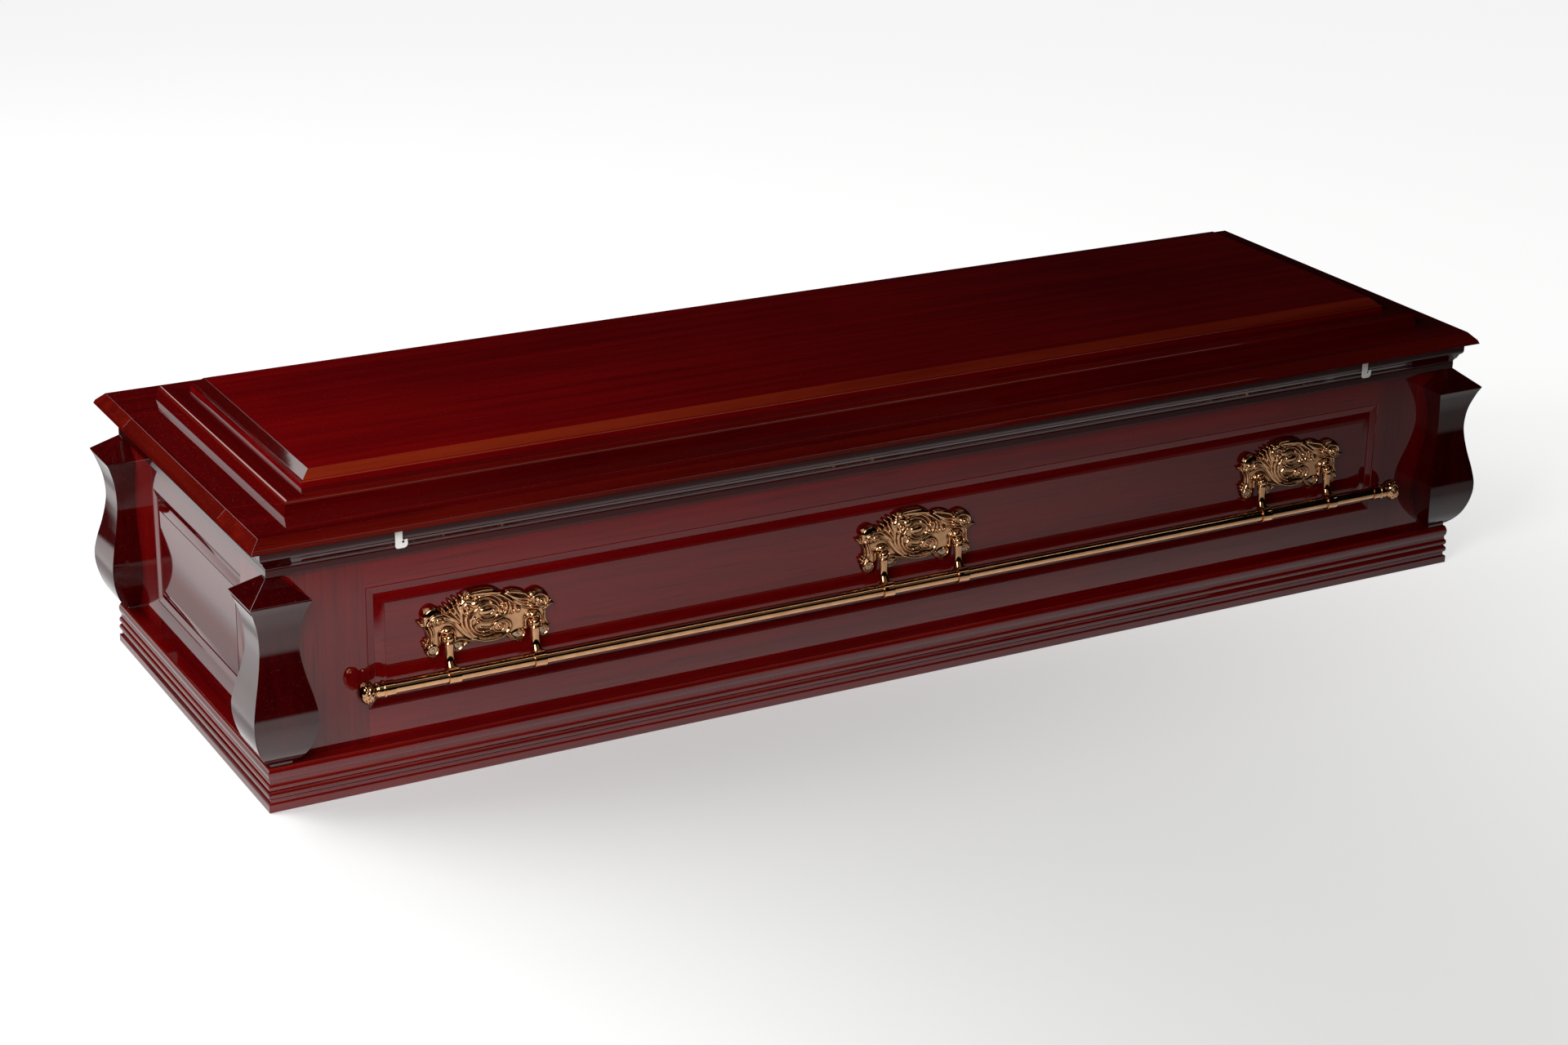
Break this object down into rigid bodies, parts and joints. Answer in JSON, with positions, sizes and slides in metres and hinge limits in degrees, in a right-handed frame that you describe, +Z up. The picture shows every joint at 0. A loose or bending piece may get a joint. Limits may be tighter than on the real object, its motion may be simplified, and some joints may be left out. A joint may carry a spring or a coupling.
{
  "type": "funeral casket",
  "caption": "Panelled wooden funeral casket with moulded plinth, scrolled corner posts, stepped loose lid and swinging bar handles along its long sides.",
  "frame": {"origin": "centre of the underside, on the surface that the casket rests on", "axes": "+X along the length, to the right seen from the front, +Y from the front side to the back side, +Z up"},
  "size_m": [2.1204, 0.7104, 0.4475],
  "materials": {
    "lid_wood": "high-gloss red mahogany lacquer, grain along the boards",
    "case_wood": "high-gloss dark red-brown mahogany lacquer",
    "post_wood": "high-gloss dark red mahogany lacquer on sawn curves",
    "floor_wood": "plain unlacquered board",
    "handle_copper": "polished copper-bronze plate, dark in its recesses",
    "catch_paint": "off-white painted steel"
  },
  "bodies": {
    "casket": {"floor_board": "floor_wood", "plinth_front": "case_wood", "plinth_right": "case_wood", "plinth_back": "case_wood", "plinth_left": "case_wood", "front_bottom_rail": "case_wood", "front_top_rail": "case_wood", "front_left_stile": "case_wood", "front_right_stile": "case_wood", "front_panel": "case_wood", "right_bottom_rail": "case_wood", "right_top_rail": "case_wood", "right_front_stile": "case_wood", "right_back_stile": "case_wood", "right_panel": "case_wood", "back_bottom_rail": "case_wood", "back_top_rail": "case_wood", "back_left_stile": "case_wood", "back_right_stile": "case_wood", "back_panel": "case_wood", "left_bottom_rail": "case_wood", "left_top_rail": "case_wood", "left_front_stile": "case_wood", "left_back_stile": "case_wood", "left_panel": "case_wood", "cornice_front": "case_wood", "cornice_right": "case_wood", "cornice_back": "case_wood", "cornice_left": "case_wood", "post_front_left": "post_wood", "post_front_right": "post_wood", "post_back_right": "post_wood", "post_back_left": "post_wood", "lid_rim_front": "lid_wood", "lid_rim_right": "lid_wood", "lid_rim_back": "lid_wood", "lid_rim_left": "lid_wood", "lid_step_front": "lid_wood", "lid_step_right": "lid_wood", "lid_step_back": "lid_wood", "lid_step_left": "lid_wood", "lid_top_panel": "lid_wood", "catch_front_left": "catch_paint", "catch_front_right": "catch_paint", "catch_back_left": "catch_paint", "catch_back_right": "catch_paint", "front_plate_left": "handle_copper", "front_plate_middle": "handle_copper", "front_plate_right": "handle_copper", "back_plate_left": "handle_copper", "back_plate_middle": "handle_copper", "back_plate_right": "handle_copper"},
    "front_handle": {"front_arms": "handle_copper", "front_bar": "handle_copper", "front_cap_left": "handle_copper", "front_cap_right": "handle_copper"},
    "back_handle": {"back_arms": "handle_copper", "back_bar": "handle_copper", "back_cap_left": "handle_copper", "back_cap_right": "handle_copper"}
  },
  "joints": [
    {"name": "front_handle_swing", "type": "hinge", "parent": "casket", "child": "front_handle", "pos_m": [0, -0.3228, 0.206], "axis": [-1, 0, 0], "range_deg": [0, 90]},
    {"name": "back_handle_swing", "type": "hinge", "parent": "casket", "child": "back_handle", "pos_m": [0, 0.3228, 0.206], "axis": [1, 0, 0], "range_deg": [0, 90]}
  ]
}
